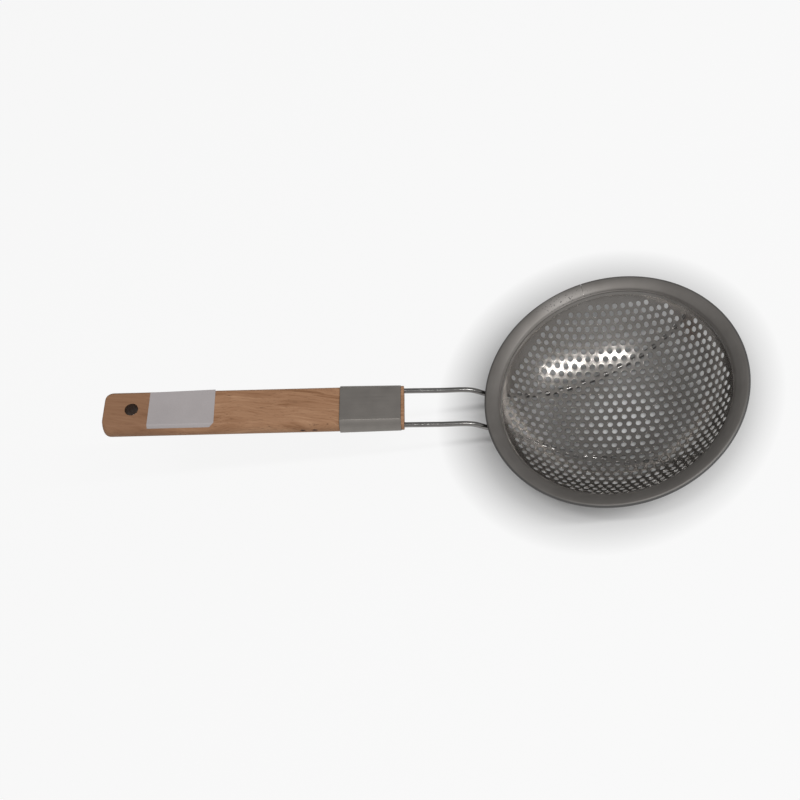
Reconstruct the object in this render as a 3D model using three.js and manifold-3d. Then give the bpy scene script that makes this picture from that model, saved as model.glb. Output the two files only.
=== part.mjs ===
// Perforated strainer: pressed bowl, folded rim band, two carrying wires, ferrule and wooden handle.
// Millimetres, +Z out of the bowl's mouth, handle towards -X.
import * as THREE from 'three';
import { mergeVertices } from 'three/addons/utils/BufferGeometryUtils.js';
import Module from 'manifold-3d';

const { degToRad, lerp } = THREE.MathUtils;

// Rim band, a strip folded round the bowl's flange
const RIM_RADIUS = 72.5;
const BAND_SHEET = 0.6;
const BAND_EDGE = 1.8; // radius of the outer edge's upper rounding
const BAND_DOME = 3.6; // radius of the top face's curve down into the bowl
const BAND_LIP = 2.1; // straight length after that curve
const BAND_RETURN = 4.2; // width of the leaf folded back under the flange
const SEAM_GAP = 0.4;
const SEAM_TURN = degToRad(99); // place of the butt seam, from +X
const RIM_FACETS = 60; // shared by the band and the bowl's rings
const BEND_STEPS = 4; // an even number, shared by the band's and the bowl's bends

// Bowl, pressed from a flat perforated blank; its levels are those of the sheet's middle
const BOWL_DEPTH = 36; // from the rim's top face to the bottom of the dish
const BOWL_SHEET = 0.7;
const FLANGE_INSET = 2.2; // from the rim's outside to the flange's edge
const DISH_INSET = 8.15; // from the rim's outside to the dish's upper end
const DISH_DROP = 3.7; // from the flange to the dish's upper end
const DISH_SLOPE = degToRad(57.6); // steepness of the dish's upper end and of the wall above it
const DISH_FLAT_PULL = 30; // how far the flat bottom's tangent reaches
const DISH_WALL_PULL = 29; // how far the steep wall's tangent reaches

// Perforation, a staggered pattern in the blank, coarser than the real 3.2 mm holes at a 5.3 mm pitch
const HOLE_PITCH = 8.4;
const HOLE_DIAMETER = 5;
const PATTERN_TURN = degToRad(-6.7);
const PLAIN_MARGIN = 3.2; // unpierced sheet between the outer holes and the dish's upper end

// Carrying wires
const WIRE_DIAMETER = 2.7;
const WIRE_SPACING = 22.2;
const WIRE_SPREAD = degToRad(16.7); // each wire's turn outwards under the bowl
const WIRE_INSERT = 28; // length inside the wood
const WIRE_DIP_RUN = 6.6; // from the rim's outside to where the wire starts to dip
const WIRE_DIP_GAP = 0.9; // room left between the dip and the rim's fold
const WIRE_END_INSET = 2.5; // from the rim's outside to the wire's far end
const WIRE_SIDES = 8;
const WIRE_STEPS = 64;

// Handle and ferrule
const HANDLE_RISE = degToRad(16.4);
const HANDLE_LIFT = 1.3; // height of the handle's axis over the rim's top face, at the rim's outside
const NECK_LENGTH = 44.7; // from the rim's outside to the wood, along the handle's axis
const HANDLE_LENGTH = 171;
const HANDLE_WIDTH = 26.6;
const HANDLE_THICKNESS = 11.6;
const HANDLE_BOW = 3; // how far the rounded sides stand out past the flat faces
const HANDLE_CORNER = 5; // plan radius of the end's corners
const HANG_HOLE_DIAMETER = 8.4;
const HANG_HOLE_INSET = 16.2; // from the handle's end to the hole's centre
const HANG_HOLE_SIDES = 24;
const FERRULE_LENGTH = 34.4;
const FERRULE_INSET = 1.8; // wood left showing in front of the ferrule
const FERRULE_SHEET = 0.5;
const FERRULE_PROUD = 0.6; // how far the ferrule stands above the wood behind it
const FERRULE_SEAM = 0.8; // open joint along the ferrule's back
const ARC_STEPS = 4; // steps of the handle's and the ferrule's rounded stretches

const CLEARANCE = 0.3; // gap left between pieces that touch
const CUT_MARGIN = 1; // how far a cutting body reaches past what it cuts

const wasm = await Module();
wasm.setup();

// Solids for joins and cuts

function toSolid(geometry) {
  const bare = geometry.clone();
  bare.deleteAttribute('normal');
  bare.deleteAttribute('uv');
  const merged = mergeVertices(bare, 1e-4);
  return new wasm.Manifold(new wasm.Mesh({
    numProp: 3,
    vertProperties: new Float32Array(merged.attributes.position.array),
    triVerts: new Uint32Array(merged.index.array),
  }));
}

function toGeometry(solid) {
  const mesh = solid.getMesh();
  const geometry = new THREE.BufferGeometry();
  geometry.setAttribute('position', new THREE.BufferAttribute(mesh.vertProperties, 3));
  geometry.setIndex(new THREE.BufferAttribute(mesh.triVerts, 1));
  geometry.computeVertexNormals();
  return geometry;
}

function addPiece(parent, name, solid, color, roughness, metalness) {
  const material = new THREE.MeshStandardMaterial({ color, roughness, metalness });
  const mesh = new THREE.Mesh(toGeometry(solid), material);
  mesh.name = name;
  parent.add(mesh);
}

// Rim levels and radii: the flange lies between the band's two leaves, and the wall follows its dome
const flangeLevel = -(BAND_SHEET + CLEARANCE + BOWL_SHEET / 2);
const bandUnderside = 2 * flangeLevel;
const foldRadius = -flangeLevel;
const foldCentre = RIM_RADIUS - foldRadius;
const dishRadius = RIM_RADIUS - DISH_INSET;
const dishTop = flangeLevel - DISH_DROP;
const bendRadius = BAND_DOME + flangeLevel;
const wallRise = bendRadius * Math.cos(DISH_SLOPE) - BAND_DOME - dishTop;
const domeCentre = dishRadius + wallRise / Math.tan(DISH_SLOPE) + bendRadius * Math.sin(DISH_SLOPE);
const domeEnd = Math.PI / 2 + DISH_SLOPE; // where the dome meets the wall, as an angle about its centre

// Bowl's meridian: middle of the sheet from the axis to the flange's edge, by length along the sheet

function bowlMeridian() {
  const path = new THREE.Path();
  path.moveTo(0, -BOWL_DEPTH);
  path.bezierCurveTo(
    DISH_FLAT_PULL, -BOWL_DEPTH,
    dishRadius - DISH_WALL_PULL * Math.cos(DISH_SLOPE), dishTop - DISH_WALL_PULL * Math.sin(DISH_SLOPE),
    dishRadius, dishTop,
  );
  path.absarc(domeCentre, -BAND_DOME, bendRadius, domeEnd, Math.PI / 2, true);
  path.lineTo(RIM_RADIUS - FLANGE_INSET, flangeLevel);
  const [dish, wall, bend, edge] = path.getCurveLengths();
  return { path, dish, wall, bend, edge };
}

const meridian = bowlMeridian();

// Radius and level at a length along the sheet, moved off the sheet's middle towards the bowl's inside
function offSheet(length, offset) {
  const share = THREE.MathUtils.clamp(length / meridian.edge, 0, 1);
  const at = meridian.path.getPoint(share);
  const tangent = meridian.path.getTangent(share);
  return new THREE.Vector2(at.x - offset * tangent.y, at.y + offset * tangent.x);
}

// Bowl: the blank's faces are laid out flat, then pressed to the meridian on both sides of the sheet

function holeSites() {
  const reach = meridian.dish - PLAIN_MARGIN - HOLE_DIAMETER / 2;
  const rowStep = HOLE_PITCH * Math.sin(Math.PI / 3);
  const rows = Math.ceil(reach / rowStep);
  const sites = new Map();
  for (let j = -rows; j <= rows; j++) {
    for (let i = -2 * rows; i <= 2 * rows; i++) {
      const centre = new THREE.Vector2((i + j / 2) * HOLE_PITCH, j * rowStep);
      if (centre.length() < reach) sites.set(`${i},${j}`, { i, j, centre });
    }
  }
  return sites;
}

// Hexagonal holes of the same area as round ones, each corner facing the middle of three holes
function perforatedSheet() {
  const corners = 6;
  const cornerTurn = 2 * Math.PI / corners;
  const cornerReach = HOLE_DIAMETER / 2 * Math.sqrt(cornerTurn / Math.sin(cornerTurn));
  const points = [];
  const faces = [];
  const walls = [];
  const openEdges = new Map(); // edges met once so far; those left over are the pattern's outline

  function addPoint(radius, turn) {
    points.push(new THREE.Vector2(radius * Math.cos(turn), radius * Math.sin(turn)));
    return points.length - 1;
  }
  function traceLoop(loop) {
    loop.forEach((from, k) => {
      const to = loop[(k + 1) % loop.length];
      if (!openEdges.delete(`${to},${from}`)) openEdges.set(`${from},${to}`, [from, to]);
    });
  }
  function addFace(...loop) {
    traceLoop(loop);
    for (let k = 2; k < loop.length; k++) faces.push([loop[0], loop[k - 1], loop[k]]);
  }

  const sites = holeSites();
  for (const site of sites.values()) {
    site.loop = Array.from({ length: corners }, (_, k) => {
      const turn = (k + 0.5) * cornerTurn;
      const corner = new THREE.Vector2(cornerReach * Math.cos(turn), cornerReach * Math.sin(turn));
      corner.add(site.centre);
      return addPoint(corner.length(), corner.angle() + PATTERN_TURN);
    });
    traceLoop(site.loop);
    site.loop.forEach((corner, k) => walls.push([site.loop[(k + 1) % corners], corner]));
  }
  for (const { i, j, loop } of sites.values()) {
    const east = sites.get(`${i + 1},${j}`)?.loop;
    const northEast = sites.get(`${i},${j + 1}`)?.loop;
    const northWest = sites.get(`${i - 1},${j + 1}`)?.loop;
    if (east) addFace(loop[5], east[3], east[2], loop[0]);
    if (northEast) addFace(loop[0], northEast[4], northEast[3], loop[1]);
    if (northWest) addFace(loop[1], northWest[5], northWest[4], loop[2]);
    if (east && northEast) addFace(loop[0], east[2], northEast[4]);
    if (northEast && northWest) addFace(loop[1], northEast[3], northWest[5]);
  }

  // Plain sheet: rings for the wall, the bend and the flange, and a margin from them to the pattern
  const stations = [meridian.dish];
  for (let k = 0; k <= BEND_STEPS; k++) stations.push(lerp(meridian.wall, meridian.bend, k / BEND_STEPS));
  stations.push(meridian.edge);
  const rings = stations.map((length) => (
    Array.from({ length: RIM_FACETS }, (_, k) => addPoint(length, k * 2 * Math.PI / RIM_FACETS))
  ));
  const nextCorner = new Map(openEdges.values());
  const outline = [nextCorner.keys().next().value];
  while (outline.length < nextCorner.size) outline.push(nextCorner.get(outline[outline.length - 1]));
  outline.reverse();
  const margin = [...rings[0], ...outline];
  const marginFaces = THREE.ShapeUtils.triangulateShape(
    rings[0].map((k) => points[k]),
    [outline.map((k) => points[k])],
  );
  for (const face of marginFaces) faces.push(face.map((k) => margin[k]));
  for (let n = 1; n < rings.length; n++) {
    for (let k = 0; k < RIM_FACETS; k++) {
      const m = (k + 1) % RIM_FACETS;
      faces.push([rings[n - 1][k], rings[n][k], rings[n][m]]);
      faces.push([rings[n - 1][k], rings[n][m], rings[n - 1][m]]);
    }
  }
  const edge = rings[rings.length - 1];
  edge.forEach((corner, k) => walls.push([corner, edge[(k + 1) % RIM_FACETS]]));
  return { points, faces, walls };
}

function bowlSolid() {
  const { points, faces, walls } = perforatedSheet();
  const count = points.length;
  const position = [];
  for (const side of [1, -1]) {
    for (const point of points) {
      const at = offSheet(point.length(), side * BOWL_SHEET / 2);
      const turn = point.angle();
      position.push(at.x * Math.cos(turn), at.x * Math.sin(turn), at.y);
    }
  }
  const index = [];
  for (const [a, b, c] of faces) index.push(a, b, c, a + count, c + count, b + count);
  for (const [a, b] of walls) index.push(a, a + count, b + count, a, b + count, b);
  const geometry = new THREE.BufferGeometry();
  geometry.setAttribute('position', new THREE.Float32BufferAttribute(position, 3));
  geometry.setIndex(index);
  return toSolid(geometry);
}

// Rim band: the folded strip's section turned about the bowl's axis, then slit at its butt seam

function bandSolid() {
  const returnEnd = RIM_RADIUS - BAND_RETURN;
  const edgeCentre = RIM_RADIUS - BAND_EDGE;
  const corner = -bandUnderside - BAND_EDGE;
  const lipEnd = (radius) => [
    domeCentre + radius * Math.cos(domeEnd) - BAND_LIP * Math.cos(DISH_SLOPE),
    radius * Math.sin(domeEnd) - BAND_DOME - BAND_LIP * Math.sin(DISH_SLOPE),
  ];
  const section = new THREE.Path();
  section.moveTo(returnEnd, bandUnderside + BAND_SHEET);
  section.lineTo(returnEnd, bandUnderside);
  section.lineTo(RIM_RADIUS - corner, bandUnderside);
  section.quadraticCurveTo(RIM_RADIUS, bandUnderside, RIM_RADIUS, -BAND_EDGE);
  section.absarc(edgeCentre, -BAND_EDGE, BAND_EDGE, 0, Math.PI / 2, false);
  section.absarc(domeCentre, -BAND_DOME, BAND_DOME, Math.PI / 2, domeEnd, false);
  section.lineTo(...lipEnd(BAND_DOME));
  section.lineTo(...lipEnd(BAND_DOME - BAND_SHEET));
  section.absarc(domeCentre, -BAND_DOME, BAND_DOME - BAND_SHEET, domeEnd, Math.PI / 2, true);
  section.absarc(edgeCentre, -BAND_EDGE, BAND_EDGE - BAND_SHEET, Math.PI / 2, 0, true);
  section.lineTo(RIM_RADIUS - BAND_SHEET, bandUnderside + BAND_SHEET);
  section.closePath();
  const ring = new THREE.LatheGeometry(section.getPoints(BEND_STEPS / 2), RIM_FACETS);
  ring.rotateX(Math.PI / 2);
  ring.rotateZ(Math.PI / 2);
  const slitReach = RIM_RADIUS - dishRadius + 2 * CUT_MARGIN;
  const slit = new THREE.BoxGeometry(slitReach, SEAM_GAP, 2 * (CUT_MARGIN - dishTop));
  slit.translate(RIM_RADIUS + CUT_MARGIN - slitReach / 2, 0, 0);
  slit.rotateZ(SEAM_TURN);
  return toSolid(ring).subtract(toSolid(slit));
}

// Handle's own axes: -X runs along the wood away from the bowl, +Z is the side that faces up
const handleReach = RIM_RADIUS / Math.cos(HANDLE_RISE) + NECK_LENGTH;
const handleAxes = new THREE.Group();
handleAxes.position.z = HANDLE_LIFT - RIM_RADIUS * Math.tan(HANDLE_RISE);
handleAxes.rotation.y = HANDLE_RISE;
handleAxes.updateMatrix();

// Wires: straight out of the wood, down round the rim's fold, then along the underside of the dish

function wireRoute(side) {
  const radius = WIRE_DIAMETER / 2;
  const spread = side * WIRE_SPREAD;
  const across = side * WIRE_SPACING / 2;
  const foldClear = foldRadius + WIRE_DIP_GAP + radius;
  const dishClear = BOWL_SHEET / 2 + CLEARANCE + radius;
  const bandLevel = bandUnderside - CLEARANCE - radius;
  const points = [];

  // Straight length
  const dipReach = (RIM_RADIUS + WIRE_DIP_RUN) / Math.cos(HANDLE_RISE);
  for (const reach of [handleReach + WIRE_INSERT, handleReach, lerp(handleReach, dipReach, 0.5), dipReach]) {
    points.push(new THREE.Vector3(-reach, across, 0).applyMatrix4(handleAxes.matrix));
  }

  // Dip round the rim's edge, under the band and round the dish's upper end
  const nearSide = (r, z) => points.push(new THREE.Vector3(-Math.sqrt(r * r - across * across), across, z));
  const dipTurns = [degToRad(30), degToRad(65)];
  for (const drop of dipTurns) {
    nearSide(foldCentre + foldClear * Math.cos(drop), flangeLevel - foldClear * Math.sin(drop));
  }
  const bandMiddle = lerp(foldCentre, dishRadius + dishClear, 0.5);
  nearSide(bandMiddle, bandLevel);

  // Under the dish in a straight line seen from above, level by level with the sheet
  const top = offSheet(meridian.dish, -dishClear);
  const heading = new THREE.Vector2(Math.cos(spread), Math.sin(spread));
  const start = new THREE.Vector2(-Math.sqrt(top.x ** 2 - across ** 2), across);
  const along = (run) => heading.clone().multiplyScalar(run).add(start);
  const runTo = (r) => -start.dot(heading) + Math.sqrt(start.dot(heading) ** 2 + r * r - start.lengthSq());
  const farRun = runTo(top.x);
  const dishSteps = 16;
  for (let k = 0; k <= dishSteps; k++) {
    const at = along(farRun * (1 - Math.cos(Math.PI * k / dishSteps)) / 2);
    points.push(new THREE.Vector3(at.x, at.y, levelUnder(at.length(), dishClear)));
  }

  // Out to the far side of the band
  for (const r of [bandMiddle, RIM_RADIUS - WIRE_END_INSET]) {
    const at = along(runTo(r));
    points.push(new THREE.Vector3(at.x, at.y, bandLevel));
  }
  return new THREE.CatmullRomCurve3(points);
}

// Level of a point that lies a given distance under the dish at radius r
function levelUnder(r, distance) {
  let inner = 0;
  let outer = meridian.dish;
  const halvings = 40;
  for (let k = 0; k < halvings; k++) {
    const middle = (inner + outer) / 2;
    if (offSheet(middle, -distance).x < r) inner = middle;
    else outer = middle;
  }
  return offSheet(outer, -distance).y;
}

function roundSection(radius) {
  return new THREE.Shape().absarc(0, 0, radius, 0, 2 * Math.PI, false);
}

function wireSolid(side) {
  return toSolid(new THREE.ExtrudeGeometry(roundSection(WIRE_DIAMETER / 2), {
    steps: WIRE_STEPS,
    curveSegments: WIRE_SIDES / 2,
    bevelEnabled: false,
    extrudePath: wireRoute(side),
  }));
}

// Handle and ferrule share one section: flat faces and bowed sides, grown or shrunk by an offset

function handleSection(offset) {
  const half = HANDLE_THICKNESS / 2;
  const bowRadius = (half * half + HANDLE_BOW * HANDLE_BOW) / (2 * HANDLE_BOW);
  const bowCentre = HANDLE_WIDTH / 2 - bowRadius;
  const sweep = Math.asin((half + offset) / (bowRadius + offset));
  const shape = new THREE.Shape();
  shape.absarc(bowCentre, 0, bowRadius + offset, -sweep, sweep, false);
  shape.absarc(-bowCentre, 0, bowRadius + offset, Math.PI - sweep, Math.PI + sweep, false);
  return shape;
}

// Bar of a section that lies along the handle, between two distances from the bowl's axis
function handleBar(section, from, to) {
  const bar = new THREE.ExtrudeGeometry(section, {
    depth: to - from,
    curveSegments: ARC_STEPS,
    bevelEnabled: false,
  });
  bar.rotateX(Math.PI / 2);
  bar.rotateZ(-Math.PI / 2);
  bar.translate(-from, 0, 0);
  return bar;
}

const ferruleFrom = handleReach + FERRULE_INSET;
const ferruleTo = ferruleFrom + FERRULE_LENGTH;
const ferruleInner = FERRULE_PROUD - FERRULE_SHEET;

function ferruleSolid() {
  const section = handleSection(FERRULE_PROUD);
  section.holes.push(handleSection(ferruleInner));
  const seam = new THREE.BoxGeometry(FERRULE_LENGTH + 2 * CUT_MARGIN, FERRULE_SEAM, HANDLE_THICKNESS);
  seam.translate(-(ferruleFrom + ferruleTo) / 2, 0, -HANDLE_THICKNESS / 2);
  return toSolid(handleBar(section, ferruleFrom, ferruleTo)).subtract(toSolid(seam));
}

function handleSolid() {
  const end = handleReach + HANDLE_LENGTH;
  const shoulder = ferruleTo + CLEARANCE;
  const half = HANDLE_WIDTH / 2;
  const plan = new THREE.Shape();
  plan.moveTo(-shoulder, -half);
  plan.lineTo(-shoulder, half);
  plan.absarc(-end + HANDLE_CORNER, half - HANDLE_CORNER, HANDLE_CORNER, Math.PI / 2, Math.PI, false);
  plan.absarc(-end + HANDLE_CORNER, HANDLE_CORNER - half, HANDLE_CORNER, Math.PI, 1.5 * Math.PI, false);
  const slab = new THREE.ExtrudeGeometry(plan, {
    depth: HANDLE_THICKNESS + 2 * CUT_MARGIN,
    curveSegments: ARC_STEPS,
    bevelEnabled: false,
  });
  slab.translate(0, 0, -HANDLE_THICKNESS / 2 - CUT_MARGIN);
  const grip = handleBar(handleSection(0), shoulder - CUT_MARGIN, end + CUT_MARGIN);
  const tenon = handleBar(handleSection(ferruleInner - CLEARANCE), handleReach, shoulder + CUT_MARGIN);
  let wood = toSolid(grip).intersect(toSolid(slab)).add(toSolid(tenon));

  const hangHole = new THREE.CylinderGeometry(
    HANG_HOLE_DIAMETER / 2, HANG_HOLE_DIAMETER / 2, HANDLE_THICKNESS + 2 * CUT_MARGIN, HANG_HOLE_SIDES,
  );
  hangHole.rotateX(Math.PI / 2);
  hangHole.translate(-end + HANG_HOLE_INSET, 0, 0);
  wood = wood.subtract(toSolid(hangHole));
  for (const side of [1, -1]) {
    const boreEnd = handleReach + WIRE_INSERT + CLEARANCE;
    const bore = handleBar(roundSection(WIRE_DIAMETER / 2 + CLEARANCE), handleReach - CUT_MARGIN, boreEnd);
    bore.translate(0, side * WIRE_SPACING / 2, 0);
    wood = wood.subtract(toSolid(bore));
  }
  return wood;
}

// Assembly, set down with the middle of its footprint at the origin
const strainer = new THREE.Group();
const pieces = new THREE.Group();
strainer.add(pieces);
pieces.add(handleAxes);
addPiece(pieces, 'perforated_bowl', bowlSolid(), 0x8f8b87, 0.4, 1);
addPiece(pieces, 'rim_band', bandSolid(), 0x7d7975, 0.42, 1);
addPiece(pieces, 'wire_left', wireSolid(1), 0x8a8783, 0.35, 1);
addPiece(pieces, 'wire_right', wireSolid(-1), 0x8a8783, 0.35, 1);
addPiece(handleAxes, 'ferrule', ferruleSolid(), 0x77736e, 0.45, 1);
addPiece(handleAxes, 'handle', handleSolid(), 0xb48a5c, 0.6, 0);
const box = new THREE.Box3().setFromObject(strainer, true);
const footprint = box.getCenter(new THREE.Vector3());
pieces.position.set(-footprint.x, -footprint.y, -box.min.z);

export default strainer;
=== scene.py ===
import math

import bmesh
import bpy
import numpy as np
from mathutils import Matrix, Vector
from mathutils.geometry import delaunay_2d_cdt


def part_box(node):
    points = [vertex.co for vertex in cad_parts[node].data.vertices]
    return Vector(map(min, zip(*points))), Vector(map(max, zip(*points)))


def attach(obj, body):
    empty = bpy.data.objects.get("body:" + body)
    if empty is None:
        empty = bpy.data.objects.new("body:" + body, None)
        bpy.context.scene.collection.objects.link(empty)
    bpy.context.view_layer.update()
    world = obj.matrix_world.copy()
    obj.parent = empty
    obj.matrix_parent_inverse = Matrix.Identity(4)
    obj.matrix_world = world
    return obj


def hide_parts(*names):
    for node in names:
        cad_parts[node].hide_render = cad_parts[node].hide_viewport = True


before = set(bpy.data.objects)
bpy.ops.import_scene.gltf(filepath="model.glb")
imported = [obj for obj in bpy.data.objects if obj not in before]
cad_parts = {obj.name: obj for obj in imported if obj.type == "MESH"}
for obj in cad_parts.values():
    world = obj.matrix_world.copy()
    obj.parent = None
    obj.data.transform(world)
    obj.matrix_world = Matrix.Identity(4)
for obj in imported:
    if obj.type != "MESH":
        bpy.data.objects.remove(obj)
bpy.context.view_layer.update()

# Sizes in millimetres, from the middle of the rim's top face, with the handle towards -X
MM = 0.001
rim_low, rim_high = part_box("rim_band")
RIM_CENTRE = Vector(((rim_low.x + rim_high.x) / 2, (rim_low.y + rim_high.y) / 2, rim_high.z))
RIM_RADIUS = (rim_high.x - rim_low.x) / 2 / MM
CLEARANCE = 0.3  # between the band and the bowl, and between the ferrule's ends and the wood

BAND_SHEET = 0.6
BAND_EDGE = 1.4  # radius of the outer edge's upper rounding
BAND_TILT = math.radians(7)  # slope into the bowl where the top face starts
BAND_CROWN = 16  # radius of the top face
BAND_SHOULDER = math.radians(28)  # slope where the top face turns down to the lip
BAND_LIP_RISE = 1.3  # from the dish's upper end up the wall to the middle of the lip's edge
BAND_HEM = 0.5  # radius of the lip's rolled edge
HEM_PROUD = 0.2  # how far the rolled edge stands off the lip
BAND_RETURN = 4.2  # width folded under the flange
SEAM_GAP = 0.22
SEAM_TURN = math.radians(99)  # place of the butt seam, from +X

BOWL_DEPTH = 36  # from the rim's top face to the middle of the sheet at the dish's bottom
BOWL_SHEET = 0.7
DISH_INSET = 8.15  # from the rim's outside to the dish's upper end
DISH_DROP = 3.7  # from the flange to the dish's upper end
DISH_SLOPE = math.radians(57.6)  # steepness of the dish's upper end and of the wall above it
DISH_FLAT_PULL = 30  # how far the flat bottom's tangent reaches
DISH_WALL_PULL = 29  # how far the steep wall's tangent reaches
BEAD_DROP = 1.2  # from the dish's upper end to the bead pressed into it
BEAD_RISE = 0.2
BEAD_SPREAD = 0.45
BEAD_MARGIN = 1.75  # from the dish's upper end to the sheet below the bead

HOLE_PITCH = 5.34
HOLE_DIAMETER = 3.2
HOLE_EDGE = 0.16  # rounding of each hole's edge
PATTERN_TURN = math.radians(-6.66)
PATTERN_SHIFT = np.array((4.24, 3.27))  # from the bowl's axis to a hole
PATTERN_SPREAD = 0.0267  # share by which the pattern is drawn together at the dish's edge
PLAIN_MARGIN = 3.35  # unpierced sheet between the outer holes and the dish's upper end
PLAIN_GAP = 0.5  # least distance between points of the plain sheet and its outer ring

WIRE_DIAMETER = 3
WIRE_SPACING = 22.2
WIRE_SPREAD = math.radians(16.7)  # each wire's turn outwards under the bowl
WIRE_INSERT = 28  # length inside the wood
WIRE_DIP_RUN = 6.6  # from the rim's outside to where the wire starts to dip
WIRE_DIP_GAP = 0.75  # room left between the dip and the rim's fold
WIRE_DIP_SAG = 0.9  # how far a wire hangs below the handle's line where it dips
WIRE_GAP = 0.02  # between a wire and the sheet above it
WIRE_END_INSET = 2.5  # from the rim's outside to the wire's far end
WIRE_BORE_GAP = 0.12

HANDLE_RISE = math.radians(16.4)
HANDLE_LIFT = 1.3  # height of the handle's axis over the rim's top face, at the rim's outside
NECK_LENGTH = 44.7  # from the rim's outside to the wood, along the handle's axis
HANDLE_LENGTH = 171
HANDLE_WIDTH = 26.6
HANDLE_THICKNESS = 11.6
HANDLE_BOW = 3  # how far the rounded sides stand out past the flat faces
HANDLE_CORNER = 4.2  # plan radius of the end's corners
HANDLE_EDGE = 1.3  # rounding between the flat faces and the bowed sides
HANDLE_END_EDGE = 1.2
HANDLE_FRONT_EDGE = 0.3
HANG_HOLE_DIAMETER = 7.5
HANG_HOLE_INSET = 16.2  # from the handle's end to the hole's middle
HANG_HOLE_FLARE = 0.3
HANG_HOLE_DARK_RING = 0.2  # width of the dark ring round the hole: darker end grain and painted shade
CUT_PAST = 1  # how far the cutters of holes and bores reach out of the wood

FERRULE_LENGTH = 34.4
FERRULE_INSET = 1.8  # wood left showing in front of the ferrule
FERRULE_SHEET = 0.5
FERRULE_PROUD = 0.75  # how far the sheet stands above the wood behind it
FERRULE_TAPER = 0.4  # how much closer the sheet lies to the wood at its front
FERRULE_FOLD = 0.6
FERRULE_SEAM = 0.8  # open joint along the back
TENON_STEP = 0.2  # depth of the wood's seat under the ferrule
TENON_EASE = 0.05  # length of the step to that seat

LABEL_FRONT = 227.8  # from the bowl's axis along the handle
LABEL_LENGTH = 37.4
LABEL_SKEW = 0.5  # how much further forward its near side reaches
LABEL_FAR = 11.7  # edge that stands out over the far side
LABEL_TURN = 0.9  # how much less it stands out at its rear
LABEL_DROP = 1.45  # how far the near edge hangs below the handle's flat face
LABEL_SNIP = 2.6  # length lost from the near front corner
LABEL_SHEET = 0.12
LABEL_GAP = 0.02  # between the paper and the wood

# Marks on the surfaces
GRAIN_SLANT = math.radians(8)
DARK_END_LENGTH = 48  # darker wood at the handle's end
NICK_REACHES = (177.4, 170.6)  # painted shade of two small nicks in the handle's near edge, from the bowl's axis
NICK_PLACE = (-13.2, 0.3)  # across and above the handle's axis
NICK_SIZE = (2, 0.9, 0.9)
BROWN_REFLECTION_MIDDLE = (-34, 38, -14)  # middle of a painted brownish reflection inside the bowl
BROWN_REFLECTION_SIZE = (50, 42, 42)
PITS_AND_SHEEN_MIDDLE = (-23, 63, -1)  # stretch of the band with its own pits and a painted highlight
PITS_AND_SHEEN_SIZE = (24, 10, 8)

# Floor and light
FLOOR_HALF = 60000  # half of the floor's width
FLOOR_DROP = 0.2  # from the object's lowest point to the floor
SHADE_SHIFT = Vector((-10, 18, 0))  # from the bowl's axis to the middle of the floor's shaded part
SHADE_REACH = 102  # from there to where the floor has turned white
SHADE_SOFTNESS = 0.3  # share of that reach over which it turns
WHITE_SHARE = 0.88  # share of plain white in the rest of the floor
LAMP_LINE_END = Vector((2220, -520, 1500))  # end of the line that both lamps lie on
LAMP_LINE_WAY = Vector((-1, 0.05, 0)).normalized()
LAMP_SPANS = ((0, 1760), (2060, 500))  # each lamp's start, from that end, and its length
LAMP_WIDTH = 80
LAMP_WATTS_PER_METRE = 9.4
SOFT_LIGHT_SIDE = Vector((0.5, -0.7, 0.5)).normalized()  # where most of the soft light comes from
SOFT_LIGHT_START = -0.3  # lean towards that side at which the light starts to grow
SOFT_LIGHT_LEVELS = (0.26, 0.57)

# Viewpoint
CAMERA_AIM = Vector((-122.7, 14.24, 0))
CAMERA_DISTANCE = 643.8
CAMERA_AZIMUTH = math.radians(28.84)
CAMERA_ELEVATION = math.radians(54.58)
CAMERA_ROLL = math.radians(-34.22)
CAMERA_LENS = 49.5
CAMERA_SENSOR = 36

# Places that follow from the sizes
flange_level = -(BAND_SHEET + CLEARANCE + BOWL_SHEET / 2)
band_underside = 2 * flange_level
fold_radius = -flange_level
fold_centre = RIM_RADIUS - fold_radius
dish_radius = RIM_RADIUS - DISH_INSET
dish_top = flange_level - DISH_DROP
handle_reach = RIM_RADIUS / math.cos(HANDLE_RISE) + NECK_LENGTH
handle_end = handle_reach + HANDLE_LENGTH
ferrule_start = handle_reach + FERRULE_INSET
ferrule_end = ferrule_start + FERRULE_LENGTH
axis_level = HANDLE_LIFT - RIM_RADIUS * math.tan(HANDLE_RISE)

# Section of the band's top face: a crown that leaves the outer edge, and a shoulder down to the wall
up_wall = np.array((math.cos(DISH_SLOPE), math.sin(DISH_SLOPE)))
off_wall, off_edge, off_shoulder = (
    np.array((-math.sin(slope), math.cos(slope))) for slope in (DISH_SLOPE, BAND_TILT, BAND_SHOULDER)
)
wall_line = np.array((dish_radius, dish_top)) - flange_level * off_wall
edge_centre = np.array((RIM_RADIUS - BAND_EDGE, -BAND_EDGE))
crown_centre = edge_centre + (BAND_EDGE - BAND_CROWN) * off_edge
crown_share = off_shoulder @ off_wall
shoulder_radius = (crown_centre - wall_line) @ off_wall + BAND_CROWN * crown_share
shoulder_radius /= crown_share - 1
shoulder_centre = crown_centre + (BAND_CROWN - shoulder_radius) * off_shoulder
edge_turn, shoulder_turn, wall_turn = (
    90 + math.degrees(slope) for slope in (BAND_TILT, BAND_SHOULDER, DISH_SLOPE)
)

bowl_axes = Matrix.Translation(RIM_CENTRE)
handle_axes = bowl_axes @ Matrix.Translation((0, 0, axis_level * MM)) @ Matrix.Rotation(HANDLE_RISE, 4, "Y")


# Meshes

def arc(centre, radius, start, end, steps):
    turns = np.radians(np.linspace(start, end, steps + 1))
    return np.column_stack((centre[0] + radius * np.cos(turns), centre[1] + radius * np.sin(turns)))


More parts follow.
